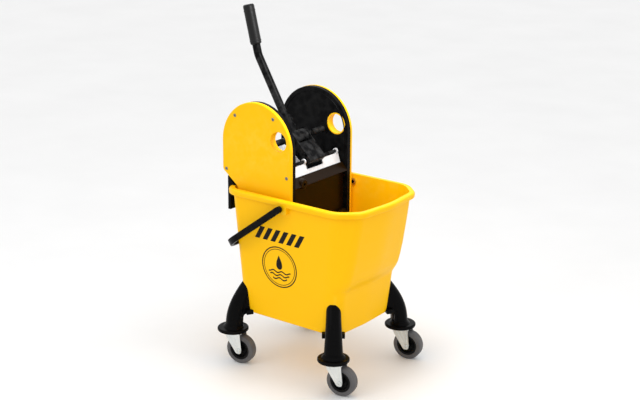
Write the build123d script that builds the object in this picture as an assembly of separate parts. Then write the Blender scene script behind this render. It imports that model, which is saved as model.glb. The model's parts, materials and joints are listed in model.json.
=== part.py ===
"""Mop bucket on four swivel casters with a lift-off lever wringer, in millimetres.

Frame: the origin is on the floor under the middle of the bounding box, +Z is up, +X is
the pouring front and -Y is the printed side. Left is +Y and right is -Y for a person
who faces the front. Every shape is drawn in the pose in which the object stands: the
lever leans back, the bail rests on the rear wall and the casters trail to the front.
"""
import os
from math import atan2, degrees, hypot

from build123d import *

# Every X below is drawn this much too low; keep() moves the finished shapes into the frame
CENTRE_X = 7.69

# Casters
WHEEL_R = 37.5
WHEEL_W = 24.0
TYRE_T = 11.0
TRAIL = 24.0
CASTER_YAW = 11.4
KINGPIN_R = 6.0
AXLE_R = 4.0
FORK_TOP = 82.0
FORK_T = 2.6
FORK_HALF = 18.0
RUN_FIT = 0.05

# Legs and the bumper disc over each caster
KINGPINS = {
    "front_left": (153.0, 142.5),
    "front_right": (153.0, -142.5),
    "rear_left": (-164.0, 142.5),
    "rear_right": (-164.0, -142.5),
}
DISC_R = 39.5
DISC_Z = 84.0
DISC_T = 9.0
SHELF_T = 2.5
SHELF_W = 56.0
SHELF_REACH = 45.0
LEG_BOLT_R = 3.0
LEG_BOLT_Z = (156.0, 184.0)
# Sections up a leg: height, distance of the centre inboard of the kingpin, half depth, half width
HORN = [
    (88.0, 1.0, 19.0, 24.0),
    (129.0, 7.2, 22.0, 21.5),
    (163.0, 21.0, 24.0, 19.5),
    (190.0, 37.0, 24.0, 18.2),
    (215.0, 56.0, 24.0, 17.5),
]

# Bucket
FLOOR_Z = 132.0
RIM_Z = 460.0
WALL = 3.5
LIP_W = 11.0
LIP_H = 14.0
# Front of the outer wall: height, shoulder x, corner x and y, nose x.
# The step between 240 and 274 is the ledge on which the pouring front leans out.
FRONT = [
    (132.0, 112.0, 141.0, 101.0, 146.0),
    (240.0, 122.0, 152.0, 108.0, 157.0),
    (246.0, 123.0, 154.0, 108.5, 159.5),
    (262.0, 127.0, 164.0, 110.0, 170.0),
    (274.0, 129.5, 169.5, 110.5, 176.0),
    (292.0, 132.0, 174.0, 111.0, 181.5),
    (325.0, 136.0, 181.0, 111.0, 190.0),
    (370.0, 142.5, 188.5, 109.5, 199.5),
    (415.0, 150.0, 196.0, 107.0, 207.5),
    (460.0, 158.0, 203.0, 103.0, 214.0),
]
REST_Z = 329.5

# Bail handle
BAIL_X, BAIL_Z = 1.0, 441.0
BAIL_DROP = 36.6
BAIL_REACH = 221.0
BAIL_W, BAIL_T = 16.0, 8.0
BAIL_IN = 160.0
BAIL_PEG_R = 4.0

# Wringer side panels
PANEL_X = (-206.9, 7.1)
ARCH_Z = 572.6
PANEL_BASE = 330.0
Y_INNER = 105.3
Y_SPLIT = 117.0
Y_OUTER = 125.4
SKIN = 3.0
COVER_SKIN = 2.6
GRIP_HOLE = (-30.5, 594.0)
GRIP_HOLE_R = 24.5
COVER_SCREWS = [(-165.6, 638.9), (-46.8, 647.2), (-194.4, 499.7), (-5.4, 507.9)]

# Wringer basket
WALL_X = (-10.5, -6.5)
LIP_TOP = (-10.5, 498.7)
LIP_END = (7.4, 479.6)
BACK_LINE = [(-165.0, 533.0), (-127.5, 498.0), (-98.0, 337.0)]
SHEET = 1.6
BASKET_FLOOR = (336.0, 342.0)
HOOK_X = (-190.4, -182.8)
BASKET_SCREWS = [(-1.0, 372.0), (-1.0, 352.0), (-146.0, 480.0), (-62.0, 339.0)]

# Lever
HUB = (-71.9, 574.0)
SHAFT_R = 8.0
SHAFT_END = 121.0
TUBE_R = 10.25
TUBE_WALL = 2.0
SOCKET_TOP = (-109.8, 620.4)
BEND = (-194.2, 764.5)
GRIP_END = (-225.9, 887.0)
BEND_R = 60.0
GRIP_R = 14.0
BAR = (-23.0, 527.0)
BAR_R = 4.0
YOKE_HALF = 30.0
YOKE_SKIN = 3.0
LEVER_TRAVEL = 70.0

# Press plate
PLATE_X = (-13.7, -12.0)
PLATE_FOOT = 365.0
PLATE_HALF = 100.0
GUIDE_PIN = (-18.0, 402.0)
GUIDE_PIN_R = 4.0

NODES = {}


def keep(name, shape):
    """Move a finished shape onto the frame's origin and register it under its node's name."""
    NODES[name] = Pos(CENTRE_X, 0, 0) * shape


def block(x, y, z):
    """Box between the (low, high) pairs x, y and z."""
    sizes = [high - low for low, high in (x, y, z)]
    middle = [(low + high) / 2 for low, high in (x, y, z)]
    return Pos(*middle) * Box(*sizes)


def rod_y(centre, radius, y_low, y_high):
    """Cylinder along Y round the point centre = (x, z)."""
    place = Pos(centre[0], (y_low + y_high) / 2, centre[1]) * Rot(90, 0, 0)
    return place * Cylinder(radius, y_high - y_low)


def rod_z(x, y, radius, z_low, z_high):
    """Upright cylinder."""
    return Pos(x, y, (z_low + z_high) / 2) * Cylinder(radius, z_high - z_low)


def slab(points, radius, y_low, y_high):
    """Outline in the XZ plane, with rounded corners, between two Y values."""
    if radius:
        outline = make_face(FilletPolyline(*points, radius=radius, close=True))
    else:
        outline = make_face(Polyline(*points, close=True))
    return extrude(Plane.XZ.offset(-y_high) * outline, y_high - y_low, dir=(0, -1, 0))


def both_sides(shape):
    """The shape and its mirror image in the middle plane."""
    return shape + mirror(shape, about=Plane.XZ)


def between(low, high, share):
    return low + (high - low) * share


# ---------------------------------------------------------------- bucket

def front_line(z):
    """Shoulder x, corner x, corner y and nose x of the outer wall at height z."""
    for low, high in zip(FRONT, FRONT[1:]):
        if z <= high[0]:
            break
    share = (z - low[0]) / (high[0] - low[0])
    return [between(a, b, share) for a, b in zip(low[1:], high[1:])]


def move_in(points, inset):
    """Corners of a closed clockwise outline once all its sides have moved in by inset."""
    moved = []
    for before, point, after in zip(points[-1:] + points, points, points[1:] + points[:1]):
        first = (Vector(*point) - Vector(*before)).normalized()
        second = (Vector(*after) - Vector(*point)).normalized()
        sides = [Vector(way.Y, -way.X) for way in (first, second)]
        step = (sides[0] + sides[1]) * (inset / (1 + sides[0].dot(sides[1])))
        moved.append((point[0] + step.X, point[1] + step.Y))
    return moved


def bucket_outline(z, inset=0.0):
    """Level section of the bucket: tapered sides, rounded rear corners, bowed front."""
    share = (z - FLOOR_Z) / (RIM_Z - FLOOR_Z)
    rear = between(-158.5, -171.0, share)
    half = between(117.0, 145.5, share)
    shoulder, corner_x, corner_y, nose = front_line(z)
    points = [
        (rear, half),
        (shoulder, half),
        (corner_x, corner_y),
        (nose, 0),
        (corner_x, -corner_y),
        (shoulder, -half),
        (rear, -half),
    ]
    rear_r = 28.0 - inset
    shoulder_r = 55.0 - inset
    front_r = between(22.0, 36.0, share) - inset
    radii = [rear_r, shoulder_r, front_r, 250.0, front_r, shoulder_r, rear_r]
    rounded = FilletPolyline(*move_in(points, inset), radius=radii, close=True)
    return Pos(0, 0, z) * make_face(rounded)


def bucket_body():
    """The filled bucket without its lip; legs are cut to fit against it."""
    sections = [bucket_outline(FLOOR_Z, 4.0), bucket_outline(FLOOR_Z + 1.2, 1.2)]
    sections.append(bucket_outline(FLOOR_Z + 4.0))
    return loft(sections + [bucket_outline(row[0]) for row in FRONT[1:]], ruled=True)


def bucket_cavity():
    sections = [bucket_outline(FLOOR_Z + 4.0, WALL + 5.0), bucket_outline(FLOOR_Z + 9.0, WALL)]
    sections += [bucket_outline(row[0], WALL) for row in FRONT[1:]]
    mouth = Pos(0, 0, 1.0) * bucket_outline(RIM_Z, WALL)
    return loft(sections + [mouth], ruled=True)


def bucket_lip():
    """Broad rolled band round the rim, open underneath."""
    profile = [(0.0, LIP_W - 1.0), (1.5, LIP_W), (9.5, LIP_W), (12.6, LIP_W - 1.8), (LIP_H, LIP_W - 5.0)]
    base = RIM_Z - LIP_H
    band = loft([bucket_outline(base + rise, -out) for rise, out in profile], ruled=True)
    channel = [bucket_outline(base - 1.0, 4.0 - LIP_W), bucket_outline(RIM_Z - 5.0, 4.5 - LIP_W)]
    return band - loft(channel, ruled=True)


def wringer_rest():
    """Moulded step inside the left wall; the wringer's side panels stand on it."""
    step = [(118.0, REST_Z), (140.0, REST_Z), (140.0, REST_Z - 45.0), (129.0, REST_Z - 30.0)]
    profile = make_face(Polyline(*step, close=True))
    return extrude(Plane.YZ.offset(-110.0) * profile, 90.0)


def make_bucket(body):
    pad = block((-15, 17), (136, 155), (427, 451))
    pad = fillet(pad.edges().filter_by(Axis.Y), 5.0)
    rests = both_sides(wringer_rest()) & body
    shell = body + bucket_lip() + both_sides(pad) - bucket_cavity() + rests
    shell -= both_sides(rod_y((BAIL_X, BAIL_Z), BAIL_PEG_R + RUN_FIT, 130, 165))
    for place in KINGPINS.values():
        for z in LEG_BOLT_Z:
            seat = corner_depth(place, z) + 0.8
            shell -= rod_inboard(place, z, LEG_BOLT_R + 0.4, seat - 20, seat + 1)
            shell -= rod_inboard(place, z, 6.4, seat, seat + 6)
    return shell


# ---------------------------------------------------------------- legs

def inboard(place):
    """Level unit direction from a kingpin toward its bucket corner."""
    target = 104.0 if place[0] > 0 else -127.0
    step_x = target - place[0]
    step_y = (79.0 - abs(place[1])) * (1 if place[1] > 0 else -1)
    length = hypot(step_x, step_y)
    return step_x / length, step_y / length


def leg_plane(place):
    """Upright plane through the kingpin, with local x inboard and local y up."""
    way = inboard(place)
    return Plane(origin=(*place, 0), x_dir=(*way, 0), z_dir=(way[1], -way[0], 0))


def rod_inboard(place, z, radius, near, far):
    """Level cylinder over a kingpin's inboard line, between two distances from it."""
    plane = leg_plane(place)
    middle = Plane(origin=plane.origin + plane.x_dir * near + Vector(0, 0, z), z_dir=plane.x_dir)
    return extrude(middle * Circle(radius), far - near)


def corner_depth(place, z):
    """Distance inboard from a kingpin to the inner face of the bucket's wall."""
    start = Vector(*place, z)
    line = Line(start, start + Vector(*inboard(place), 0) * 150.0)
    inside = (line & bucket_outline(z, WALL)).edges()[0]
    return min((inside @ end - start).length for end in (0, 1))


def horn_section(plane, z, centre, deep, wide):
    """Elliptical level section of a leg; centre and deep run inboard, wide runs across."""
    level = Plane(origin=plane.origin + Vector(0, 0, z), x_dir=plane.x_dir, z_dir=(0, 0, 1))
    return level * (Pos(centre, 0) * Ellipse(deep, wide))


def make_leg(place, body):
    """Horn-shaped leg that hugs a lower bucket corner and spreads into a bumper disc."""
    plane = leg_plane(place)
    horn = loft([horn_section(plane, *row) for row in HORN])
    shelf_low, shelf_high = FLOOR_Z - SHELF_T, FLOOR_Z + 9.0
    neck = [
        (4, DISC_Z + 12),
        (20, DISC_Z + 12),
        (22, shelf_low),
        (SHELF_REACH, shelf_low),
        (SHELF_REACH, FLOOR_Z + 42),
        (30, FLOOR_Z + 42),
        (4, FLOOR_Z + 10),
    ]
    side = make_face(FilletPolyline(*neck, radius=[0, 0, 9, 1, 0, 0, 0], close=True))
    web = extrude(plane * side, HORN[1][3] - 3, both=True)
    shelf = [(27, shelf_low), (SHELF_REACH, shelf_low), (SHELF_REACH, shelf_high), (27, shelf_high)]
    shelf_face = make_face(FilletPolyline(*shelf, radius=[2, 0, 0, 2], close=True))
    web += extrude(plane * shelf_face, SHELF_W / 2, both=True)
    disc = rod_z(*place, DISC_R, DISC_Z, DISC_Z + DISC_T)
    disc = fillet(disc.edges().filter_by(GeomType.CIRCLE), 3.5)
    collar = loft(
        [
            horn_section(plane, DISC_Z + DISC_T - 1, 1.3, 27.0, 31.0),
            horn_section(plane, DISC_Z + DISC_T + 7, 1.8, 20.0, 24.0),
        ]
    )
    leg = horn + web + collar + disc - body
    leg -= rod_z(*place, KINGPIN_R, DISC_Z - 1, DISC_Z + 40)
    for z in LEG_BOLT_Z:
        seat = corner_depth(place, z)
        leg -= rod_inboard(place, z, LEG_BOLT_R, seat - 20, seat)
    return leg


def make_leg_screws():
    """Two bolts per leg, driven outward through the bucket's corner wall."""
    screws = []
    for place in KINGPINS.values():
        for z in LEG_BOLT_Z:
            seat = corner_depth(place, z) + 0.8
            head = rod_inboard(place, z, 6.0, seat, seat + 3.2)
            screws.append(head + rod_inboard(place, z, LEG_BOLT_R, seat - 19, seat))
    return Compound(screws)


# ---------------------------------------------------------------- casters

def caster_frame(place):
    """Local x points along the trail, with the kingpin axis as local z."""
    return Pos(*place, 0) * Rot(0, 0, CASTER_YAW)


def make_stem(place):
    """Kingpin fixed in the leg; its flange holds the fork up from below."""
    stem = rod_z(*place, KINGPIN_R, FORK_TOP - FORK_T - 1, DISC_Z + 40)
    head = rod_z(*place, 10.0, FORK_TOP - FORK_T - 5.05, FORK_TOP - FORK_T - RUN_FIT)
    return stem + fillet(head.edges().sort_by(Axis.Z)[0], 2.0)


def make_fork(place):
    """Pressed fork: a dished top with two tapering cheeks."""
    cheek = [(-15, FORK_TOP), (28, FORK_TOP), (32.5, 40), (30.5, 28.5), (18, 28.5), (-9, 68)]
    bends = [1, 3, 6, 6, 8, 12]
    outer = slab(cheek, bends, -FORK_HALF - FORK_T, FORK_HALF + FORK_T)
    hollow = block((-60, 60), (-FORK_HALF + 2.2, FORK_HALF - 2.2), (0, FORK_TOP - FORK_T))
    outer = outer & block((-60, 60), (-FORK_HALF - 0.4, FORK_HALF + 0.4), (0, FORK_TOP))
    crown = rod_z(0, 0, 21.0, FORK_TOP - FORK_T, FORK_TOP + 1.4)
    crown = chamfer(crown.edges().sort_by(Axis.Z)[-1], 1.2)
    fork = outer - hollow + crown
    fork -= rod_z(0, 0, KINGPIN_R + RUN_FIT, 60, 90)
    fork -= rod_y((TRAIL, WHEEL_R), AXLE_R, -30, 30)
    return caster_frame(place) * fork


def make_axle(place):
    """Axle bolt with a low round head, dimpled like a rivet, on the right cheek."""
    centre = (TRAIL, WHEEL_R)
    head_y = -FORK_HALF - 0.4
    head = rod_y(centre, 6.0, head_y - 2.2, head_y)
    head = fillet(head.edges().sort_by(Axis.Y)[0], 1.2)
    bolt = head + rod_y(centre, AXLE_R, head_y, FORK_HALF + 10.0)
    return caster_frame(place) * (bolt - rod_y(centre, 2.8, head_y - 3, head_y - 0.6))


def make_nut(place):
    nut_y = FORK_HALF + 0.4
    nut = extrude(Plane.XZ.offset(-nut_y) * RegularPolygon(7.0, 6), 6.0, dir=(0, 1, 0))
    nut = Pos(TRAIL, 0, WHEEL_R) * nut - rod_y((TRAIL, WHEEL_R), AXLE_R, 0, 40)
    return caster_frame(place) * nut


def ring_y(outer, inner, half):
    """Ring round the axle, half wide each side of the wheel's middle."""
    centre = (TRAIL, WHEEL_R)
    return rod_y(centre, outer, -half, half) - rod_y(centre, inner, -half - 1, half + 1)


def make_hub(place):
    """Moulded wheel centre: a rim, a thin web and a long hub bored for the axle."""
    core = WHEEL_R - TYRE_T
    hub = ring_y(core, core - 5.0, 10.5) + ring_y(core - 4.0, 8.0, 3.0)
    hub = hub + ring_y(9.5, AXLE_R + RUN_FIT, 14.5)
    return caster_frame(place) * hub


def make_tyre(place):
    tyre = ring_y(WHEEL_R, WHEEL_R - TYRE_T, WHEEL_W / 2)
    rims = [edge for edge in tyre.edges().filter_by(GeomType.CIRCLE) if edge.radius > WHEEL_R - 1]
    return caster_frame(place) * fillet(rims, 5.0)


# ---------------------------------------------------------------- bail

def bail_frame():
    """Local x runs from the pivot down the rearward arm, local z is square to it."""
    return Pos(BAIL_X, 0, BAIL_Z) * Rot(0, 180 - BAIL_DROP, 0)


def make_bail():
    """Flat-section U: two arms, rounded corners and a bar behind the bucket."""
    out = BAIL_IN + BAIL_T
    path = [(0, -out), (BAIL_REACH + BAIL_T / 2, -out), (BAIL_REACH + BAIL_T / 2, out), (0, out)]
    inner = [(0, -BAIL_IN), (BAIL_REACH - BAIL_T / 2, -BAIL_IN)]
    inner += [(x, -y) for x, y in reversed(inner)]
    outer_face = make_face(FilletPolyline(*path, radius=[0, 58, 58, 0], close=True))
    inner_face = make_face(FilletPolyline(*inner, radius=[0, 50, 50, 0], close=True))
    strap = extrude(outer_face - inner_face, BAIL_W / 2, both=True)
    ends = Rot(90, 0, 0) * Cylinder(BAIL_W / 2, 2 * out)
    ends -= block((-20, 20), (-BAIL_IN, BAIL_IN), (-20, 20))
    pegs = Rot(90, 0, 0) * Cylinder(BAIL_PEG_R, 2 * BAIL_IN + 4)
    pegs -= block((-20, 20), (-135.5, 135.5), (-20, 20))
    return bail_frame() * (strap + ends + pegs)


def make_bail_clips():
    """Push-on washers that keep the pegs in the bucket's walls."""
    clip = rod_y((BAIL_X, BAIL_Z), 9.0, 137.0, 139.0)
    clip -= rod_y((BAIL_X, BAIL_Z), BAIL_PEG_R, 130, 150)
    return Compound([clip, mirror(clip, about=Plane.XZ)])


# ---------------------------------------------------------------- wringer panels

def panel_outline(inset=0.0):
    """Arched panel with a chamfered heel that drops inside the bucket's rear wall."""
    rear, front = PANEL_X[0] + inset, PANEL_X[1] - inset
    top = ARCH_Z + (front - rear) / 2
    heel = [
        (rear, top),
        (front, top),
        (front, PANEL_BASE + inset),
        (-128.0 + inset, PANEL_BASE + inset),
        (-161.5 + 1.1 * inset, 460.5),
        (rear, 496.0 + 0.5 * inset),
    ]
    arch = (front - rear) / 2 - 0.01
    bends = [arch, arch, 8.0, 8.0, 6.0, 12.0]
    return make_face(FilletPolyline(*heel, radius=bends, close=True))


def panel_slab(inset, y_low, y_high):
    return extrude(Plane.XZ.offset(-y_high) * panel_outline(inset), y_high - y_low, dir=(0, -1, 0))


def make_side_shell():
    """Left inner shell: a tray, open outward, with the bush seat and screw posts."""
    tray = panel_slab(0.6, Y_INNER, Y_SPLIT) - panel_slab(0.6 + SKIN, Y_INNER + SKIN, Y_SPLIT + 1)
    tray += rod_y(HUB, 16.0, Y_INNER, Y_SPLIT)
    tray -= rod_y(HUB, 11.0, Y_INNER - 1, Y_SPLIT + 1)
    posts_top = Y_OUTER - COVER_SKIN
    for place in COVER_SCREWS:
        tray += rod_y(place, 5.0, Y_INNER, posts_top)
        tray -= rod_y(place, 1.8, Y_INNER + 4, posts_top + 1)
    for place in BASKET_SCREWS:
        tray -= rod_y(place, 2.5, Y_INNER - 1, Y_INNER + SKIN + 1)
    tray -= guide_slot()
    return tray - rod_y(GRIP_HOLE, GRIP_HOLE_R + 3.6, Y_INNER - 1, Y_SPLIT + 1)


def guide_slot():
    """Curved slot for the press plate's guide pin, parallel to the press bar's path."""
    centre = (GUIDE_PIN[0] + HUB[0] - BAR[0], GUIDE_PIN[1] + HUB[1] - BAR[1])
    radius = hypot(BAR[0] - HUB[0], BAR[1] - HUB[1])
    start = degrees(atan2(BAR[1] - HUB[1], BAR[0] - HUB[0]))
    path = CenterArc(centre, radius, start + 0.6, -LEVER_TRAVEL - 1.2)
    slot = Plane.XZ.offset(-Y_INNER - SKIN - 1) * SlotArc(path, 2 * GUIDE_PIN_R + 1.0)
    return extrude(slot, SKIN + 2, dir=(0, -1, 0))


def make_cover():
    """Left outer cover: a shallow dish whose collar lines the hand hole."""
    dish = panel_slab(0.0, Y_SPLIT, Y_OUTER)
    outer_face = dish.faces().sort_by(Axis.Y)[-1]
    dish = fillet(outer_face.edges(), 3.5)
    dish -= panel_slab(SKIN, Y_SPLIT - 1, Y_OUTER - COVER_SKIN)
    dish += rod_y(GRIP_HOLE, GRIP_HOLE_R + 3.0, Y_INNER, Y_OUTER)
    dish -= rod_y(GRIP_HOLE, GRIP_HOLE_R, Y_INNER - 1, Y_OUTER + 1)
    for place in COVER_SCREWS:
        dish -= rod_y(place, 2.2, Y_OUTER - 5, Y_OUTER + 1)
        dish -= rod_y(place, 4.6, Y_OUTER - 1.2, Y_OUTER + 1)
    return dish


def make_cover_screws():
    screws = []
    for place in COVER_SCREWS:
        head = rod_y(place, 4.2, Y_OUTER - 1.2, Y_OUTER + 0.7)
        head = fillet(head.edges().sort_by(Axis.Y)[-1], 1.0)
        screws.append(head + rod_y(place, 1.8, Y_OUTER - 14, Y_OUTER - 1.2))
    screws += [mirror(screw, about=Plane.XZ) for screw in screws]
    return Compound(screws)


def make_basket_screws():
    """Screws through the inner shells into the ends of the basket's cross pieces."""
    screws = []
    head_y = Y_INNER + SKIN
    for place in BASKET_SCREWS:
        head = rod_y(place, 4.5, head_y, head_y + 2.4)
        screws.append(head + rod_y(place, 2.5, head_y - 16, head_y))
    screws += [mirror(screw, about=Plane.XZ) for screw in screws]
    return Compound(screws)


def make_bush():
    """Flanged plain bearing for the lever's cross shaft, left side."""
    bush = rod_y(HUB, 11.0, Y_INNER, Y_SPLIT) + rod_y(HUB, 14.0, Y_INNER - 2.0, Y_INNER)
    return bush - rod_y(HUB, SHAFT_R + RUN_FIT, Y_INNER - 5, Y_SPLIT + 1)


# ---------------------------------------------------------------- wringer basket

def make_front_wall():
    """Upright moulded wall with a sloping top lip and one hollow boss."""
    low, high = WALL_X
    section = [
        (low, PANEL_BASE + 2),
        (high, PANEL_BASE + 2),
        (high, LIP_END[1] + 9.5),
        (LIP_END[0] - 2.1, LIP_END[1] - 2.2),
        LIP_END,
        LIP_TOP,
    ]
    wall = slab(section, 0, -Y_INNER, Y_INNER)
    for place in BASKET_SCREWS[:2]:
        lug = rod_y(place, 6.5, 80, Y_INNER)
        wall += both_sides(lug)
        wall -= both_sides(rod_y(place, 2.5, Y_INNER - 14, Y_INNER + 1))
    boss = Pos(0.5, -70, 483) * Rot(0, 90, 0) * Cylinder(13.0, 14.0)
    boss = fillet(boss.edges().sort_by(Axis.X)[-1], 3.0)
    wall += boss - block((-60, WALL_X[0]), (-105, 105), (400, 520))
    return wall - Pos(4, -70, 483) * Rot(0, 90, 0) * Cylinder(4.0, 12.0)


def make_back_plate():
    """Galvanised back plate: an apron at 45 degrees over a steep drilled sheet."""
    top, knee, foot = (Vector(x, z) for x, z in BACK_LINE)
    behind = [p + Vector(-SHEET * 1.2, -SHEET * 0.5) for p in (foot, knee, top)]
    outline = [(p.X, p.Y) for p in [top, knee, foot] + behind]
    plate = slab(outline, 0, -Y_INNER, Y_INNER)
    slope = degrees(atan2(foot.X - knee.X, knee.Y - foot.Y))
    face = Pos(knee.X, 0, knee.Y) * Rot(0, -slope, 0)
    holes = GridLocations(1, 22, 1, 9)
    for step in range(6):
        for place in holes.locations:
            y = place.position.Y + (11 if step % 2 else 0) - 5.5
            plate -= face * Pos(0, y, -26 - 22 * step) * Rot(0, 90, 0) * Cylinder(4.5, 12)
    return plate


def make_basket_floor():
    """Slotted floor between the back plate and the front wall."""
    floor = block((-96.0, WALL_X[0]), (-Y_INNER, Y_INNER), BASKET_FLOOR)
    for y in range(-84, 85, 14):
        floor -= block((-84, -28), (y - 3.5, y + 3.5), (330, 350))
    place = BASKET_SCREWS[3]
    return floor - both_sides(rod_y(place, 2.5, Y_INNER - 14, Y_INNER + 1))


def make_rear_hook():
    """Full-width hook over the bucket's rear rim, tied to the inner shells."""
    seat = RIM_Z + 0.3
    out, near = HOOK_X
    leg = [(out, 396), (near, 396), (near, seat), (-169, seat), (out, under_heel(out))]
    hook = slab(leg, 0, -125, 125)
    web = [(out, 468), (near, seat), (-153, seat), (-136, 474), (-136, 486), (-156, 486)]
    web += [(-172, 478), (out, 478)]
    hook += slab(web, 0, -Y_INNER, Y_INNER)
    place = BASKET_SCREWS[2]
    return hook - both_sides(rod_y(place, 2.5, Y_INNER - 14, Y_INNER + 1))


def under_heel(x):
    """Height of the line that runs 1.2 mm under the chamfered heel of the panels."""
    low, high = (-161.5, 460.5), (-206.9, 496.0)
    return between(low[1], high[1], (x - low[0]) / (high[0] - low[0])) - 1.2


def make_return_spring():
    """Torsion spring round the left shaft end, inside the side panel."""
    coil = Helix(1.9, 3.8, 11.0)
    wire = sweep(Plane(coil @ 0, z_dir=coil % 0) * Circle(0.75), path=coil)
    return Pos(HUB[0], Y_SPLIT + 0.9, HUB[1]) * Rot(-90, 0, 0) * wire


# ---------------------------------------------------------------- lever

def lever_point(start, end, share):
    return tuple(between(a, b, share) for a, b in zip(start, end))


def lever_axis(start, end):
    """Frame at start with local z pointing to end, both in the XZ plane."""
    span = (end[0] - start[0], 0, end[1] - start[1])
    return Plane(origin=(start[0], 0, start[1]), x_dir=(0, 1, 0), z_dir=span)


def tube_foot():
    """Lower end of the tube, inside the socket and clear of the shaft."""
    length = hypot(SOCKET_TOP[0] - BEND[0], SOCKET_TOP[1] - BEND[1])
    return lever_point(BEND, SOCKET_TOP, (length + 38.0) / length)


def make_tube():
    foot, top = tube_foot(), lever_point(BEND, GRIP_END, 0.93)
    points = [(x, 0, z) for x, z in (foot, BEND, top)]
    path = FilletPolyline(*points, radius=BEND_R)
    start = lever_axis(foot, BEND)
    solid = sweep(start * Circle(TUBE_R), path=path)
    tube = solid - sweep(start * Circle(TUBE_R - TUBE_WALL), path=path)
    for share in (0.3, 0.75):
        tube -= rod_y(lever_point(SOCKET_TOP, foot, share), 3.0, -20, 20)
    return tube


def make_grip():
    """Moulded sleeve with a domed end over the top of the tube."""
    length = hypot(GRIP_END[0] - BEND[0], GRIP_END[1] - BEND[1])
    low = lever_point(BEND, GRIP_END, 26.0 / length)
    axis = lever_axis(low, GRIP_END)
    size = length - 26.0
    grip = axis * (Pos(0, 0, size / 2) * Cylinder(GRIP_R, size))
    grip = fillet(grip.edges().filter_by(GeomType.CIRCLE), 5.0)
    bore = length * 0.93 - 26.0
    return grip - axis * (Pos(0, 0, bore / 2 - 5) * Cylinder(TUBE_R, bore + 10))


def make_socket():
    """Cast hub on the cross shaft with a split socket for the tube."""
    foot = tube_foot()
    axis = lever_axis(SOCKET_TOP, foot)
    length = hypot(foot[0] - SOCKET_TOP[0], foot[1] - SOCKET_TOP[1])
    sleeve = axis * (Pos(0, 0, 28) * Cylinder(14.5, 56))
    socket = sleeve + rod_y(HUB, 17.0, -26.6, 26.6)
    socket -= axis * (Pos(0, 0, length / 2 - 5) * Cylinder(TUBE_R, length + 10))
    socket -= rod_y(HUB, SHAFT_R, -40, 40)
    for share in (0.3, 0.75):
        socket -= rod_y(lever_point(SOCKET_TOP, foot, share), 3.0, -20, 20)
    return socket - shaft_pin_rod()


def shaft_pin_rod():
    """Cross pin that locks the hub to the shaft, square to the shaft."""
    return Pos(HUB[0], 20.0, HUB[1]) * Rot(0, 45, 0) * Cylinder(2.5, 35.0)


def make_lever_bolts():
    """Two bolts through socket and tube, a domed head at one end and a nut at the other."""
    foot = tube_foot()
    solids = []
    for share in (0.3, 0.75):
        place = lever_point(SOCKET_TOP, foot, share)
        head = rod_y(place, 5.5, -18.0, -14.6)
        head = fillet(head.edges().sort_by(Axis.Y)[0], 2.5)
        nut = rod_y(place, 5.2, 14.6, 19.0)
        solids.append(head + rod_y(place, 3.0, -15.0, 15.0) + nut)
    return Compound(solids)


def make_cross_shaft():
    shaft = rod_y(HUB, SHAFT_R, -SHAFT_END, SHAFT_END)
    shaft = chamfer(shaft.edges().filter_by(GeomType.CIRCLE), 1.0)
    return shaft - shaft_pin_rod()


def yoke_frame():
    """Local x runs from the shaft to the press bar, local z is up and forward."""
    fall = degrees(atan2(HUB[1] - BAR[1], BAR[0] - HUB[0]))
    return Pos(HUB[0], 0, HUB[1]) * Rot(0, fall, 0)


def make_yoke():
    """Bent channel that carries the press bar: two cheeks, a web and a lug."""
    reach = hypot(BAR[0] - HUB[0], BAR[1] - HUB[1])
    tip = reach + 10.5
    cheek = [(-18, -16), (28, -15), (tip, -10.5), (tip, 15), (-10, 18), (-18, 10)]
    blank = slab(cheek, [10, 12, 8, 5, 8, 8], -YOKE_HALF, YOKE_HALF)
    inside = YOKE_HALF - YOKE_SKIN
    hollow = block((-30, reach - 10.5), (-inside, inside), (-30, 15 - YOKE_SKIN))
    hollow += block((-30, 24), (-inside, inside), (-30, 30))
    yoke = yoke_frame() * (blank - hollow)
    yoke -= rod_y(HUB, SHAFT_R, -40, 40)
    return yoke - rod_y(BAR, BAR_R, -40, 40)


def make_press_bar():
    bar = rod_y(BAR, BAR_R, -103.0, 103.0)
    return chamfer(bar.edges().filter_by(GeomType.CIRCLE), 0.8)


# ---------------------------------------------------------------- press plate

def make_press_plate():
    """Drilled sheet hung from the press bar by four loops, with an ear for each guide pin."""
    back, front = PLATE_X
    section = [
        (back, PLATE_FOOT),
        (front, PLATE_FOOT),
        (front, 498.0),
        (-19.6, 522.2),
        (-21.2, 521.6),
        (back, 498.4),
    ]
    plate = slab(section, 0, -PLATE_HALF, PLATE_HALF)
    plate -= block((-40, -10), (-YOKE_HALF - 3, YOKE_HALF + 3), (508, 530))
    for step in range(5):
        for column in range(8):
            y = (column - 3.5) * 22 + (5.5 if step % 2 else -5.5)
            plate -= Pos(front, y, PLATE_FOOT + 18 + 24 * step) * Rot(0, 90, 0) * Cylinder(4.5, 12)
    for y in (YOKE_HALF + 6, PLATE_HALF - 6):
        plate += both_sides(rod_y(BAR, 7.0, y - 2, y + 2))
    ear = slab([(-26, 386), (front, 386), (front, 418), (-26, 418)], 5, PLATE_HALF - 2, PLATE_HALF)
    plate += both_sides(ear)
    plate -= rod_y(GUIDE_PIN, GUIDE_PIN_R, -PLATE_HALF - 5, PLATE_HALF + 5)
    return plate - rod_y(BAR, BAR_R + RUN_FIT, -110, 110)


def make_guide_pins():
    """Pins at the plate's edges; each runs in a curved slot of a side shell."""
    pin = rod_y(GUIDE_PIN, GUIDE_PIN_R, PLATE_HALF - 4, Y_INNER + 6)
    pin = chamfer(pin.edges().filter_by(GeomType.CIRCLE), 0.6)
    return Compound([pin, mirror(pin, about=Plane.XZ)])


# ---------------------------------------------------------------- assembly

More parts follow.
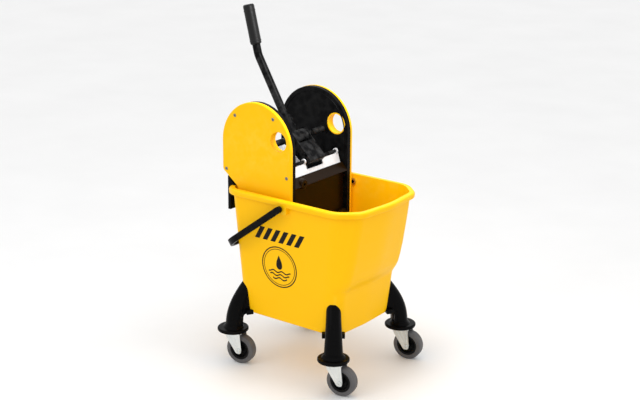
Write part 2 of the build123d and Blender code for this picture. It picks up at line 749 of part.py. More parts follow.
def make_everything():
    body = bucket_body()
    keep("bucket", make_bucket(body))
    keep("leg_screws", make_leg_screws())
    for corner, place in KINGPINS.items():
        keep(f"leg_{corner}", make_leg(place, body))
        keep(f"caster_stem_{corner}", make_stem(place))
        keep(f"caster_fork_{corner}", make_fork(place))
        keep(f"axle_bolt_{corner}", make_axle(place))
        keep(f"axle_nut_{corner}", make_nut(place))
        keep(f"wheel_hub_{corner}", make_hub(place))
        keep(f"tyre_{corner}", make_tyre(place))
    keep("bail_handle", make_bail())
    keep("bail_clips", make_bail_clips())
    for name, maker in [
        ("side_shell", make_side_shell),
        ("side_cover", make_cover),
        ("shaft_bush", make_bush),
        ("return_spring", make_return_spring),
    ]:
        shape = maker()
        keep(f"{name}_left", shape)
        keep(f"{name}_right", mirror(shape, about=Plane.XZ))
    keep("cover_screws", make_cover_screws())
    keep("basket_screws", make_basket_screws())
    keep("front_wall", make_front_wall())
    keep("back_plate", make_back_plate())
    keep("basket_floor", make_basket_floor())
    keep("rear_hook", make_rear_hook())
    keep("cross_shaft", make_cross_shaft())
    keep("lever_socket", make_socket())
    keep("shaft_pin", shaft_pin_rod())
    keep("lever_bolts", make_lever_bolts())
    keep("lever_tube", make_tube())
    keep("lever_grip", make_grip())
    keep("press_yoke", make_yoke())
    keep("press_bar", make_press_bar())
    keep("press_plate", make_press_plate())
    keep("guide_pins", make_guide_pins())


make_everything()
os.makedirs("parts", exist_ok=True)
for node, shape in NODES.items():
    export_step(shape, f"parts/{node}.step")
box = Compound([shape for shape in NODES.values()]).bounding_box()
print(f"{len(NODES)} nodes, low {box.min}, high {box.max}")
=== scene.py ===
"""Looks of the mop bucket with wringer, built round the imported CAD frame. Metres."""
import json
from math import cos, pi, radians, sin

import bmesh
import bpy
from mathutils import Matrix, Vector


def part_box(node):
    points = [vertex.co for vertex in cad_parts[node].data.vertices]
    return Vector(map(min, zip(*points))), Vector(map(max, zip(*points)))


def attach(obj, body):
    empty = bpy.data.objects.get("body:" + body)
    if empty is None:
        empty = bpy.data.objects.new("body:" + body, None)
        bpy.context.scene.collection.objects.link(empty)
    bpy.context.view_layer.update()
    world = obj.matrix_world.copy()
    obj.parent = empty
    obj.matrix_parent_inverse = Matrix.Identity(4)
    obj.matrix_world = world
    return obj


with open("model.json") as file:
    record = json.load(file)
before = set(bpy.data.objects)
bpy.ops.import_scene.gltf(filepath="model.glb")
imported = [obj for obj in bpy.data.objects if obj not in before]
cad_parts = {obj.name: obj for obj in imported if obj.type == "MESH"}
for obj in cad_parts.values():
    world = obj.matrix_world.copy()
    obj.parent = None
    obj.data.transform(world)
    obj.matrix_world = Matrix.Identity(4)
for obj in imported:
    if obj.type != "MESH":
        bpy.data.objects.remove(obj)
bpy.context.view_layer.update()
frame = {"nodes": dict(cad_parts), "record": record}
NODES = frame["nodes"]

# Camera: bearing round the object, height angle, roll, distance and the point it looks at
CAMERA_AZIMUTH = 37.14
CAMERA_ELEVATION = 17.48
CAMERA_ROLL = 0.44
CAMERA_DISTANCE = 3.574
CAMERA_TARGET = Vector((0.0063, 0.0031, 0.4239))
CAMERA_LENS = 81.22


# ------------------------------------------------------------------ node helpers

class Shader:
    """Small wrapper that builds one material's node tree."""

    def __init__(self, name):
        self.material = bpy.data.materials.new(name)
        self.material.use_nodes = True
        self.tree = self.material.node_tree
        self.shader = self.tree.nodes["Principled BSDF"]
        self.place = self.add("ShaderNodeTexCoord").outputs["Object"]

    def add(self, kind, **settings):
        node = self.tree.nodes.new(kind)
        for key, value in settings.items():
            setattr(node, key, value)
        return node

    def link(self, source, target):
        self.tree.links.new(source, target)

    def set(self, socket, value):
        self.shader.inputs[socket].default_value = value

    def stretched(self, scale):
        """The object's coordinates, stretched by scale along each axis."""
        mapping = self.add("ShaderNodeMapping")
        mapping.inputs["Scale"].default_value = scale
        self.link(self.place, mapping.inputs["Vector"])
        return mapping.outputs["Vector"]

    def noise(self, scale, detail=4.0, rough=0.55, source=None):
        node = self.add("ShaderNodeTexNoise")
        node.inputs["Scale"].default_value = scale
        node.inputs["Detail"].default_value = detail
        node.inputs["Roughness"].default_value = rough
        self.link(source or self.place, node.inputs["Vector"])
        return node.outputs["Fac"]

    def spread(self, source, low, high, start=0.3, end=0.7):
        """Maps source from start..end to low..high."""
        node = self.add("ShaderNodeMapRange")
        settings = {"From Min": start, "From Max": end, "To Min": low, "To Max": high}
        for socket, value in settings.items():
            node.inputs[socket].default_value = value
        self.link(source, node.inputs["Value"])
        return node.outputs["Result"]

    def mix(self, fac, first, second):
        node = self.add("ShaderNodeMix", data_type="RGBA")
        self.link(fac, node.inputs["Factor"])
        for socket, colour in ((6, first), (7, second)):
            if isinstance(colour, tuple):
                node.inputs[socket].default_value = (*colour, 1)
            else:
                self.link(colour, node.inputs[socket])
        return node.outputs[2]

    def combine(self, operation, first, second):
        node = self.add("ShaderNodeMath", operation=operation)
        for socket, value in zip(node.inputs, (first, second)):
            if isinstance(value, (int, float)):
                socket.default_value = value
            else:
                self.link(value, socket)
        return node.outputs[0]

    def bumps(self, layers):
        """Stacks (height, strength, distance) bumps onto the shader's normal."""
        normal = None
        for height, strength, distance in layers:
            bump = self.add("ShaderNodeBump")
            bump.inputs["Strength"].default_value = strength
            bump.inputs["Distance"].default_value = distance
            self.link(height, bump.inputs["Height"])
            if normal:
                self.link(normal, bump.inputs["Normal"])
            normal = bump.outputs["Normal"]
        self.link(normal, self.shader.inputs["Normal"])

    def edges(self, low=0.52, high=0.60):
        """1 on worn convex edges, 0 elsewhere, broken up by noise."""
        crest = self.spread(self.add("ShaderNodeNewGeometry").outputs["Pointiness"], 0, 1, low, high)
        return self.combine("MULTIPLY", crest, self.spread(self.noise(60.0), 0, 1, 0.4, 0.65))


def moulded_plastic(name, colour, shade, rough, grain=0.25, scuff=None, specular=0.18):
    """Moulded plastic: faint colour drift, fine grain, hairline scuffs and pale edges."""
    s = Shader(name)
    drift = s.spread(s.noise(4.0, 2.0), 0, 1, 0.2, 0.8)
    base = s.mix(drift, shade, colour)
    marks = s.spread(s.noise(14.0, 6.0, 0.7, s.stretched((1.0, 1.0, 22.0))), 0, 1, 0.68, 0.76)
    if scuff:
        base = s.mix(s.combine("MULTIPLY", marks, 0.14), base, scuff)
        base = s.mix(s.combine("MULTIPLY", s.edges(), 0.30), base, scuff)
    s.link(base, s.shader.inputs["Base Color"])
    satin = s.spread(s.noise(28.0, 5.0), rough - 0.03, rough + 0.05)
    s.link(s.combine("ADD", satin, s.combine("MULTIPLY", marks, 0.08)), s.shader.inputs["Roughness"])
    s.set("IOR", 1.49)
    s.set("Specular IOR Level", specular)
    fine = s.noise(1500.0, 2.0)
    wave = s.noise(9.0, 1.0)
    s.bumps([(wave, 0.06, 0.002), (fine, grain, 0.00012)])
    return s.material


def coated_steel(name, colour, rough):
    """Powder-coated steel: orange peel, a little dust and rubbed edges."""
    s = Shader(name)
    dust = s.spread(s.noise(40.0, 5.0), 0, 0.4, 0.5, 0.8)
    base = s.mix(dust, colour, tuple(2.2 * c for c in colour))
    base = s.mix(s.combine("MULTIPLY", s.edges(), 0.25), base, (0.12, 0.12, 0.12))
    s.link(base, s.shader.inputs["Base Color"])
    s.link(s.spread(s.noise(55.0, 3.0), rough - 0.06, rough + 0.10), s.shader.inputs["Roughness"])
    s.set("Specular IOR Level", 0.05)
    s.bumps([(s.noise(520.0, 2.0), 0.30, 0.0002)])
    return s.material


def plated_steel(name, colour, rough, draw=(1.0, 1.0, 30.0)):
    """Zinc-plated steel with drawn streaks and cloudy bloom."""
    s = Shader(name)
    streak = s.noise(60.0, 4.0, 0.6, s.stretched(draw))
    cloud = s.noise(30.0, 5.0)
    base = s.mix(s.spread(cloud, 0, 1), tuple(0.80 * c for c in colour), colour)
    s.link(base, s.shader.inputs["Base Color"])
    s.set("Metallic", 1.0)
    blend = s.combine("ADD", s.combine("MULTIPLY", streak, 0.5), s.combine("MULTIPLY", cloud, 0.5))
    s.link(s.spread(blend, rough - 0.07, rough + 0.10), s.shader.inputs["Roughness"])
    s.bumps([(streak, 0.12, 0.0002)])
    return s.material


def galvanised(name):
    """Galvanised sheet: spangle cells, dull grey and slightly streaked."""
    s = Shader(name)
    cells = s.add("ShaderNodeTexVoronoi")
    cells.inputs["Scale"].default_value = 130.0
    s.link(s.place, cells.inputs["Vector"])
    tone = s.spread(cells.outputs["Color"], 0, 1, 0.0, 1.0)
    base = s.mix(tone, (0.76, 0.765, 0.78), (0.86, 0.865, 0.88))
    s.link(base, s.shader.inputs["Base Color"])
    s.set("Metallic", 0.20)
    s.link(s.spread(tone, 0.42, 0.60, 0.0, 1.0), s.shader.inputs["Roughness"])
    s.bumps([(s.noise(90.0, 4.0), 0.12, 0.0004)])
    return s.material


def rubber(name, colour, dust, rough):
    """Matt rubber with fine stipple and floor dust in patches."""
    s = Shader(name)
    patch = s.spread(s.noise(45.0, 6.0, 0.65), 0, 0.7, 0.42, 0.75)
    s.link(s.mix(patch, colour, dust), s.shader.inputs["Base Color"])
    s.link(s.spread(s.noise(70.0), rough - 0.06, rough + 0.08), s.shader.inputs["Roughness"])
    s.set("Specular IOR Level", 0.25)
    s.bumps([(s.noise(900.0, 3.0), 0.35, 0.0002)])
    return s.material


def print_ink_and_painted_shade(name):
    """Screen-printed black ink, thin and slightly broken at its edges; also laid as painted shade in the
    screw recesses.
    """
    s = Shader(name)
    worn = s.spread(s.noise(220.0, 5.0, 0.7), 0, 1, 0.60, 0.75)
    tone = s.mix(s.combine("MULTIPLY", worn, 0.06), (0.004, 0.003, 0.003), (0.5, 0.3, 0.03))
    s.link(tone, s.shader.inputs["Base Color"])
    s.link(s.spread(s.noise(60.0), 0.40, 0.55), s.shader.inputs["Roughness"])
    s.set("Specular IOR Level", 0.15)
    s.bumps([(s.noise(1200.0, 2.0), 0.2, 0.0001)])
    return s.material


NEAR_BLACK = (0.0030, 0.0030, 0.0032)
DEEP_BLACK = (0.0022, 0.0022, 0.0024)
BLACK_SCUFF = (0.02, 0.02, 0.02)

YELLOW = moulded_plastic("yellow_plastic", (1.0, 0.545, 0.0015), (0.99, 0.530, 0.0015), 0.38, 0.16,
                         scuff=(1.0, 0.64, 0.06), specular=0.10)
BLACK = moulded_plastic("black_plastic", NEAR_BLACK, DEEP_BLACK, 0.28, 0.20,
                        scuff=BLACK_SCUFF, specular=0.045)
# Painted reflection: the front wall's black is tinted dark brown to paint on it the reflection of the
# bucket's yellow inside
BLACK_WITH_PAINTED_REFLECTION = moulded_plastic("black_plastic_painted_yellow_reflection", (0.013, 0.0055, 0.0010), (0.010, 0.0042, 0.0008),
                             0.30, 0.2, scuff=(0.03, 0.015, 0.008), specular=0.10)
HUB = moulded_plastic("hub_black", (0.0035, 0.0035, 0.0038), (0.0025, 0.0025, 0.0027), 0.45, 0.3,
                      scuff=BLACK_SCUFF, specular=0.12)
BLACK_STEEL = coated_steel("black_steel", (0.0022, 0.0022, 0.0025), 0.26)
ZINC = plated_steel("zinc_steel", (0.74, 0.77, 0.76), 0.30)
DULL = plated_steel("dull_steel", (0.34, 0.32, 0.29), 0.50)
SPRING = plated_steel("spring_steel", (0.35, 0.35, 0.36), 0.4)
GALVANISED = galvanised("galvanised_steel")
TYRE = rubber("tyre_grey", (0.098, 0.095, 0.098), (0.15, 0.145, 0.14), 0.60)
GRIP = rubber("grip_black", (0.0035, 0.0035, 0.0038), (0.008, 0.008, 0.008), 0.42)
INK_AND_PAINTED_SHADE = print_ink_and_painted_shade("print_ink_and_painted_shade")

SLOT_MATERIALS = {
    "yellow_plastic": YELLOW,
    "black_plastic": BLACK,
    "black_steel": BLACK_STEEL,
    "zinc_steel": ZINC,
    "galvanised_steel": GALVANISED,
    "tyre_grey": TYRE,
    "hub_black": HUB,
    "grip_black": GRIP,
    "dull_steel": DULL,
    "spring_steel": SPRING,
}


def dress_cad():
    """Gives every CAD node the material of its record slot, and the front wall a brown-tinted black that
    paints the reflection of the yellow inside.
    """
    for row in frame["record"]["subparts"]:
        node = NODES[row["node"]]
        node.data.materials.clear()
        # The front wall gets the black with the painted yellow reflection
        takes_painted_reflection = row["node"] == "front_wall"
        node.data.materials.append(BLACK_WITH_PAINTED_REFLECTION if takes_painted_reflection else SLOT_MATERIALS[row["material_slot"]])


# ------------------------------------------------------------------ detail pieces

JOINTS = {joint["name"]: joint for joint in frame["record"]["behaviour"]["joints"]}
CORNERS = ("front_left", "front_right", "rear_left", "rear_right")


def finish_piece(name, mesh, material, body):
    """Puts the bmesh into the scene as a smooth-shaded piece that rides on body."""
    bmesh.ops.remove_doubles(mesh, verts=mesh.verts, dist=1e-7)
    bmesh.ops.recalc_face_normals(mesh, faces=mesh.faces)
    for face in mesh.faces:
        face.smooth = True
    data = bpy.data.meshes.new(name)
    mesh.to_mesh(data)
    mesh.free()
    data.set_sharp_from_angle(angle=radians(35))
    data.materials.append(material)
    piece = bpy.data.objects.new(name, data)
    bpy.context.scene.collection.objects.link(piece)
    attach(piece, body)
    return piece


def add_prism(mesh, outline, place, deep):
    """Closed solid between an outline and its copy, both laid out by place(u, v, depth)."""
    front = [mesh.verts.new(place(u, v, deep)) for u, v in outline]
    back = [mesh.verts.new(place(u, v, 0.0)) for u, v in outline]
    mesh.faces.new(front)
    mesh.faces.new(back[::-1])
    for i in range(len(outline)):
        k = (i + 1) % len(outline)
        mesh.faces.new((front[k], front[i], back[i], back[k]))


def add_band(mesh, inner, outer, place, deep):
    """Closed solid strip between two loops of equal length."""
    rings = []
    for loop in (inner, outer):
        for depth in (0.0, deep):
            rings.append([mesh.verts.new(place(u, v, depth)) for u, v in loop])
    low_in, top_in, low_out, top_out = rings
    for i in range(len(inner)):
        k = (i + 1) % len(inner)
        mesh.faces.new((top_in[i], top_in[k], top_out[k], top_out[i]))
        mesh.faces.new((low_in[k], low_in[i], low_out[i], low_out[k]))
        mesh.faces.new((top_out[i], top_out[k], low_out[k], low_out[i]))
        mesh.faces.new((top_in[k], top_in[i], low_in[i], low_in[k]))


def add_tube(mesh, points, radius, sides=10):
    """Round rod of the given radius along points, with capped ends."""
    rings = []
    for i, point in enumerate(points):
        along = (points[min(i + 1, len(points) - 1)] - points[max(i - 1, 0)]).normalized()
        side = (side - along * side.dot(along)).normalized() if i else along.orthogonal().normalized()
        other = along.cross(side)
        ring = []
        for k in range(sides):
            turn = 2 * pi * k / sides
            ring.append(mesh.verts.new(point + (side * cos(turn) + other * sin(turn)) * radius))
        rings.append(ring)
    for first, second in zip(rings, rings[1:]):
        for k in range(sides):
            n = (k + 1) % sides
            mesh.faces.new((first[k], first[n], second[n], second[k]))
    mesh.faces.new(rings[0][::-1])
    mesh.faces.new(rings[-1])


def add_lathe(mesh, centre, axis, profile, steps=64):
    """Closed ring turned round axis; profile rows are (distance along axis, radius)."""
    side = axis.orthogonal().normalized()
    other = axis.cross(side)
    rings = []
    for i in range(steps):
        turn = 2 * pi * i / steps
        out = side * cos(turn) + other * sin(turn)
        rings.append([mesh.verts.new(centre + axis * along + out * radius) for along, radius in profile])
    for i in range(steps):
        first, second = rings[i], rings[(i + 1) % steps]
        for k in range(len(profile)):
            n = (k + 1) % len(profile)
            mesh.faces.new((first[k], first[n], second[n], second[k]))


# Printed panel on the right wall: stripes above, a round emblem below
STRIPE_BAND = (-0.088, 0.068, 0.345, 0.378)
STRIPE_COUNT = 6
STRIPE_SLANT = 0.020
STRIPE_SHARE = 0.58
EMBLEM_CENTRE = (-0.016, 0.280)
EMBLEM_R = 0.054
EMBLEM_RINGS = ((0.0028, 0.0), (0.0078, 0.0063))
DROP_HALF = (0.0125, 0.0190)
DROP_LIFT = 0.0125
DROP_TAPER = 1.3
DROP_STEPS = 40
RIPPLES = ((0.034, -0.0130), (0.030, -0.0220), (0.022, -0.0310))
RIPPLE_HEIGHT = 0.0024
RIPPLE_PITCH = 0.0042
RIPPLE_HALF_WIDTH = 0.0017
RIPPLE_STEPS = 32
INK_DEEP = 0.0003
OUTSIDE_Y = -0.5


def wall_point(x, z, deep):
    """Point on the bucket's right wall at (x, z), stood off by deep."""
    start = Vector((x, OUTSIDE_Y, z))
    hit, place, normal, _ = NODES["bucket"].ray_cast(start, Vector((0, 1, 0)))
    return place + normal * (deep if hit else 0.0)


def make_stripes():
    """A bar of slanted blocks over the emblem."""
    mesh = bmesh.new()
    x_low, x_high, z_low, z_high = STRIPE_BAND
    pitch = (x_high - x_low - STRIPE_SLANT) / (STRIPE_COUNT - 1 + STRIPE_SHARE)
    for i in range(STRIPE_COUNT):
        left = x_low + i * pitch
        right = left + STRIPE_SHARE * pitch
        top = [(right + STRIPE_SLANT, z_high), (left + STRIPE_SLANT, z_high)]
        add_prism(mesh, [(left, z_low), (right, z_low)] + top, wall_point, INK_DEEP)
    finish_piece("print_stripes", mesh, INK_AND_PAINTED_SHADE, "root")


def emblem_loop(radius, steps=72):
    """Circle of the given radius round the emblem's centre."""
    x, z = EMBLEM_CENTRE
    turns = [2 * pi * i / steps for i in range(steps)]
    return [(x + radius * cos(turn), z + radius * sin(turn)) for turn in turns]


def ripple_outline(half, low, row):
    """Closed outline of one wavy line below the drop."""
    x, z = EMBLEM_CENTRE
    crest = []
    for i in range(RIPPLE_STEPS + 1):
        along = -half + 2 * half * i / RIPPLE_STEPS
        crest.append((x + along, z + low + RIPPLE_HEIGHT * sin(along / RIPPLE_PITCH + row)))
    lower = [(u, v - RIPPLE_HALF_WIDTH) for u, v in crest]
    upper = [(u, v + RIPPLE_HALF_WIDTH) for u, v in crest]
    return lower + upper[::-1]


def make_emblem():
    """Two rings round a water drop over three ripples."""
    mesh = bmesh.new()
    for inner, outer in EMBLEM_RINGS:
        add_band(mesh, emblem_loop(EMBLEM_R - inner), emblem_loop(EMBLEM_R - outer), wall_point, INK_DEEP)
    x, z = EMBLEM_CENTRE
    drop = []
    for i in range(1, DROP_STEPS):
        turn = 2 * pi * i / DROP_STEPS
        width = DROP_HALF[0] * sin(turn) * sin(turn / 2) ** DROP_TAPER
        drop.append((x + width, z + DROP_LIFT + DROP_HALF[1] * cos(turn)))
    add_prism(mesh, drop, wall_point, INK_DEEP)
    for row, (half, low) in enumerate(RIPPLES):
        add_prism(mesh, ripple_outline(half, low, row), wall_point, INK_DEEP)
    finish_piece("print_emblem", mesh, INK_AND_PAINTED_SHADE, "root")


def caster_axes(corner):
    """Kingpin point on the floor, unit trail direction, unit axle direction and axle centre."""
    pivot = Vector(JOINTS["caster_swivel_" + corner]["pos_m"])
    axle = Vector(JOINTS["wheel_spin_" + corner]["pos_m"])
    trail = Vector((axle.x - pivot.x, axle.y - pivot.y, 0)).normalized()
    return Vector((pivot.x, pivot.y, 0)), trail, Vector((-trail.y, trail.x, 0)), axle


# Flutes down a fork's cheek: (along the trail, up) at the top and at the foot of each
FLUTES = (
    ((-0.004, 0.0765), (0.0175, 0.0465)),
    ((0.010, 0.0765), (0.0225, 0.0475)),
    ((0.0225, 0.0765), (0.0265, 0.0500)),
)
FLUTE_R = 0.0018
FLUTE_CENTRE = 0.0173
FLUTE_STEPS = 4


def make_fork_ribs(corner):
    """Pressed flutes down both cheeks of a caster fork."""
    foot, trail, across, _ = caster_axes(corner)
    mesh = bmesh.new()
    for side in (-1, 1):
        for top, low in FLUTES:
            points = []
            for i in range(FLUTE_STEPS + 1):
                share = i / FLUTE_STEPS
                along = top[0] + (low[0] - top[0]) * share
                up = top[1] + (low[1] - top[1]) * share
                points.append(foot + trail * along + across * side * FLUTE_CENTRE + Vector((0, 0, up)))
            add_tube(mesh, points, FLUTE_R)
    finish_piece("fork_ribs_" + corner, mesh, ZINC, "caster_" + corner)


# Ring profiles: (distance along the axis, radius)
RACE_COVER = [(-0.0072, 0.0190), (-0.0062, 0.0212), (-0.0032, 0.0228), (-0.0016, 0.0228), (-0.0016, 0.0190)]
TYRE_BEADS = (
    [(0.0112, 0.0298), (0.0125, 0.0302), (0.0128, 0.0308), (0.0125, 0.0314), (0.0112, 0.0318)],
    [(0.0112, 0.0266), (0.0122, 0.0268), (0.0124, 0.0274), (0.0112, 0.0280)],
)
HUB_RING = [(0.0030, 0.0150), (0.0056, 0.0153), (0.0064, 0.0162), (0.0056, 0.0171), (0.0030, 0.0174)]
TYRE_STEPS = 96
HUB_RIBS = 5
HUB_RIB_R = 0.0017
HUB_RIB_FACE = 0.0034
HUB_RIB_REACH = (0.0090, 0.0150, 0.0215)


def make_race_cover(corner):
    """Ball-race cover under the bumper disc."""
    foot = caster_axes(corner)[0]
    mesh = bmesh.new()
    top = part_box("caster_fork_" + corner)[1].z
    add_lathe(mesh, foot + Vector((0, 0, top)), Vector((0, 0, 1)), RACE_COVER)
    finish_piece("race_cover_" + corner, mesh, ZINC, "caster_" + corner)


def make_tyre_beads(corner):
    """Raised lines on both sidewalls of a tyre."""
    _, _, across, axle = caster_axes(corner)
    mesh = bmesh.new()
    for side in (-1, 1):
        for profile in TYRE_BEADS:
            add_lathe(mesh, axle, across * side, profile, TYRE_STEPS)
    finish_piece("tyre_beads_" + corner, mesh, TYRE, "wheel_" + corner)


def make_hub_ribs(corner):
    """A ring and spokes on both faces of a wheel centre."""
    _, trail, across, axle = caster_axes(corner)
    mesh = bmesh.new()
    for side in (-1, 1):
        axis = across * side
        add_lathe(mesh, axle, axis, HUB_RING)
        for i in range(HUB_RIBS):
            turn = 2 * pi * i / HUB_RIBS
            way = trail * cos(turn) + Vector((0, 0, 1)) * sin(turn)
            points = [axle + axis * HUB_RIB_FACE + way * reach for reach in HUB_RIB_REACH]
            add_tube(mesh, points, HUB_RIB_R, 8)
    finish_piece("hub_ribs_" + corner, mesh, HUB, "wheel_" + corner)


SHELL_BEAD_INSET = 0.0105
SHELL_BEAD_R = 0.0014
SHELL_BEAD_PROUD = 0.0002
SHELL_BEAD_FOOT_Z = 0.515
SHELL_BEAD_STEPS = 40


def make_shell_bead(side):
    """Rolled bead round the arch of a side panel, on its inner face."""
    low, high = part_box("side_shell_" + side)
    half = (high.x - low.x) / 2
    middle, radius = (low.x + high.x) / 2, half - SHELL_BEAD_INSET
    y = low.y - SHELL_BEAD_PROUD if side == "left" else high.y + SHELL_BEAD_PROUD
    points = [Vector((middle + radius, y, SHELL_BEAD_FOOT_Z))]
    for i in range(SHELL_BEAD_STEPS + 1):
        turn = pi * i / SHELL_BEAD_STEPS
        points.append(Vector((middle + radius * cos(turn), y, high.z - half + radius * sin(turn))))
    points.append(Vector((middle - radius, y, SHELL_BEAD_FOOT_Z)))
    mesh = bmesh.new()
    add_tube(mesh, points, SHELL_BEAD_R)
    finish_piece("shell_bead_" + side, mesh, BLACK, "wringer")


# The grip leans, so its axis ends inside the corners of its box by these amounts in x and z
GRIP_END = (0.01246, 0.00241)
GRIP_SLEEVE_R = 0.0136
GRIP_RING_R = 0.0146
GRIP_RING_AT = (0.010, 0.016)
GRIP_RIB = [(-0.0010, 0.0137), (0.0, 0.01425), (0.0010, 0.0137)]
GRIP_RIB_START = 0.0165
GRIP_RIB_PITCH = 0.0042
GRIP_PLAIN = 0.036
RING_STEPS = 48


def make_grip_details():
    """Moulded rings at both ends of the hand grip and fine ribs between them."""
    low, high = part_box("lever_grip")
    bottom = Vector((high.x - GRIP_END[0], 0, low.z + GRIP_END[1]))
    top = Vector((low.x + GRIP_END[0], 0, high.z - GRIP_END[1]))
    axis = (top - bottom).normalized()
    length = (top - bottom).length
    mesh = bmesh.new()
    ring = [(-0.0022, GRIP_SLEEVE_R), (-0.0012, GRIP_RING_R), (0.0012, GRIP_RING_R), (0.0022, GRIP_SLEEVE_R)]
    for along in (GRIP_RING_AT[0], length - GRIP_RING_AT[1]):
        add_lathe(mesh, bottom + axis * along, axis, ring, RING_STEPS)
    for i in range(int((length - GRIP_PLAIN) / GRIP_RIB_PITCH)):
        along = GRIP_RIB_START + i * GRIP_RIB_PITCH
        add_lathe(mesh, bottom + axis * along, axis, GRIP_RIB, RING_STEPS)
    finish_piece("grip_rings", mesh, GRIP, "lever")


WELD_BEADS = 26
WELD_RING_R = 0.0088
WELD_FACE = 0.0304
WELD_SWELL = 0.0006
WELD_R = 0.0013
COLLAR = [
    (0.0330, 0.0078), (0.0330, 0.0126), (0.0345, 0.0135),
    (0.0395, 0.0135), (0.0410, 0.0126), (0.0410, 0.0078),
]


def make_welds():
    """Weld beads where the hub casting meets the cross shaft."""
    pivot = Vector(JOINTS["lever_swing"]["pos_m"])
    mesh = bmesh.new()
    for side in (-1, 1):
        across = Vector((0, side, 0))
        ring = []
        for i in range(WELD_BEADS):
            turn = 2 * pi * i / WELD_BEADS
            ring.append(pivot + across * WELD_FACE + Vector((cos(turn), 0, sin(turn))) * WELD_RING_R)
        for start, end in zip(ring, ring[1:] + ring[:1]):
            middle = (start + end) / 2 + across * WELD_SWELL
            add_tube(mesh, [start, middle, end], WELD_R, 8)
    finish_piece("yoke_welds", mesh, BLACK_STEEL, "lever")


def make_collars():
    """Stepped collars on the cross shaft, outside the hub casting."""
    pivot = Vector(JOINTS["lever_swing"]["pos_m"])
    mesh = bmesh.new()
    for side in (-1, 1):
        add_lathe(mesh, pivot, Vector((0, side, 0)), COLLAR, RING_STEPS)
    finish_piece("shaft_collars", mesh, BLACK_STEEL, "lever")


SCREW_HEAD_SPREAD = 0.009
CROSS_ARM = [(-0.0021, -0.0004), (0.0021, -0.0004), (0.0021, 0.0004), (-0.0021, 0.0004)]
CROSS_SINK = 0.0004
CROSS_DEEP = 0.00055


def screw_heads():
    """Centres of the cover screws' outer faces, grouped from the node's own mesh."""
    low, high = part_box("cover_screws")
    groups = []
    for vertex in NODES["cover_screws"].data.vertices:
        spot = vertex.co
        if min(abs(spot.y - high.y), abs(spot.y - low.y)) > 1e-5:
            continue
        for group in groups:
            if (group[0] - spot).length < SCREW_HEAD_SPREAD:
                group.append(spot.copy())
                break
        else:
            groups.append([spot.copy()])
    return [sum(group, Vector()) / len(group) for group in groups]


def make_painted_recess_shade():
    """Dark ink crosses in the heads of the cover screws: painted shade standing in for their crossed
    recesses.
    """
    mesh = bmesh.new()
    for centre in screw_heads():
        side = 1 if centre.y > 0 else -1
        for turn in (pi / 4, 3 * pi / 4):
            way = Vector((cos(turn), 0, sin(turn)))
            cross = Vector((-way.z, 0, way.x))

            def place(u, v, deep, centre=centre, way=way, cross=cross, side=side):
                return centre + way * u + cross * v + Vector((0, side * (deep - CROSS_SINK), 0))

            # Painted shade: a flat dark cross stands in for the shade inside each recess
            add_prism(mesh, CROSS_ARM, place, CROSS_DEEP)
    finish_piece("screw_cross_painted_shade", mesh, INK_AND_PAINTED_SHADE, "wringer")


# ------------------------------------------------------------------ studio

def look_along(direction, up_hint, roll):
    """Rotation that looks along direction, rolled by roll degrees about it."""
    back = -direction.normalized()
    right = up_hint.cross(back).normalized()
    up = back.cross(right)
    turn = radians(roll)
    right, up = right * cos(turn) + up * sin(turn), up * cos(turn) - right * sin(turn)
    return Matrix((right, up, back)).transposed()


def make_camera():
    """Camera at the bearing, height and distance given at the top."""
    azimuth, elevation = radians(CAMERA_AZIMUTH), radians(CAMERA_ELEVATION)
    back = Vector((sin(azimuth) * cos(elevation), -cos(azimuth) * cos(elevation), sin(elevation)))
    camera = bpy.data.objects.new("camera", bpy.data.cameras.new("camera"))
    camera.data.sensor_width = 36.0
    camera.data.lens = CAMERA_LENS
    camera.data.clip_end = 100.0
    rotation = look_along(-back, Vector((0, 0, 1)), CAMERA_ROLL)
    camera.matrix_world = Matrix.Translation(CAMERA_TARGET + back * CAMERA_DISTANCE) @ rotation.to_4x4()
    bpy.context.scene.collection.objects.link(camera)
    bpy.context.scene.camera = camera


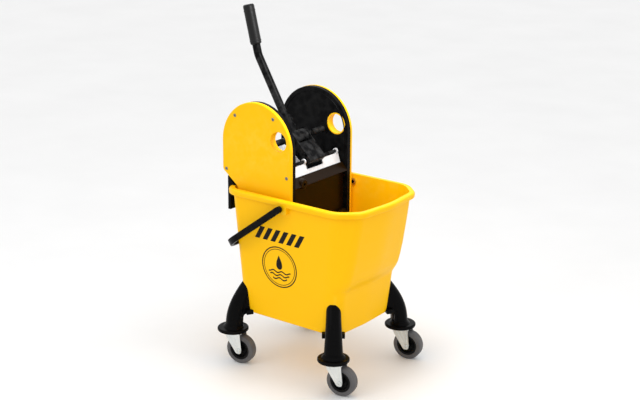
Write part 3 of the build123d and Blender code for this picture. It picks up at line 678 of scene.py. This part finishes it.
# Light name, place, size and power
LIGHT_AIM = Vector((0, 0, 0.4))
LIGHTS = (
    ("key", (-1.0, -2.4, 2.0), 0.9, 6.0),
    ("side", (2.2, -1.9, 1.7), 0.5, 1.0),
    ("top", (0.1, -0.1, 2.2), 0.8, 5.0),
    ("inner", (0.15, -0.05, 0.95), 0.20, 2.0),
)
FLOOR_HALF = 30.0


def make_light(name, place, size, power):
    """Square soft box at place that faces the middle of the object."""
    data = bpy.data.lights.new(name, "AREA")
    data.size = size
    data.energy = power
    light = bpy.data.objects.new(name, data)
    direction = LIGHT_AIM - Vector(place)
    rotation = look_along(direction, Vector((0, 0, 1)), 0.0)
    light.matrix_world = Matrix.Translation(place) @ rotation.to_4x4()
    light.visible_camera = False
    bpy.context.scene.collection.objects.link(light)


def make_floor():
    """Plain pale floor, faintly clouded."""
    s = Shader("studio_floor")
    base = s.mix(s.spread(s.noise(3.0), 0, 1), (0.88, 0.88, 0.88), (0.91, 0.91, 0.91))
    s.link(base, s.shader.inputs["Base Color"])
    s.link(s.spread(s.noise(5.0), 0.55, 0.65), s.shader.inputs["Roughness"])
    mesh = bpy.data.meshes.new("studio_floor")
    corners = [(x * FLOOR_HALF, y * FLOOR_HALF, 0) for x, y in ((-1, -1), (1, -1), (1, 1), (-1, 1))]
    mesh.from_pydata(corners, [], [(0, 1, 2, 3)])
    mesh.materials.append(s.material)
    floor = bpy.data.objects.new("studio_floor", mesh)
    bpy.context.scene.collection.objects.link(floor)


def make_studio():
    """Floor, even white surroundings and four soft lights."""
    make_floor()
    world = bpy.data.worlds.new("studio")
    bpy.context.scene.world = world
    world.use_nodes = True
    background = world.node_tree.nodes["Background"]
    background.inputs["Color"].default_value = (1, 1, 1, 1)
    background.inputs["Strength"].default_value = 1.0
    for light in LIGHTS:
        make_light(*light)
    bpy.context.scene.view_settings.view_transform = "Standard"


dress_cad()
make_camera()
make_studio()
make_stripes()
make_emblem()
for name in CORNERS:
    make_fork_ribs(name)
    make_race_cover(name)
    make_tyre_beads(name)
    make_hub_ribs(name)
for name in ("left", "right"):
    make_shell_bead(name)
make_grip_details()
make_welds()
make_collars()
make_painted_recess_shade()
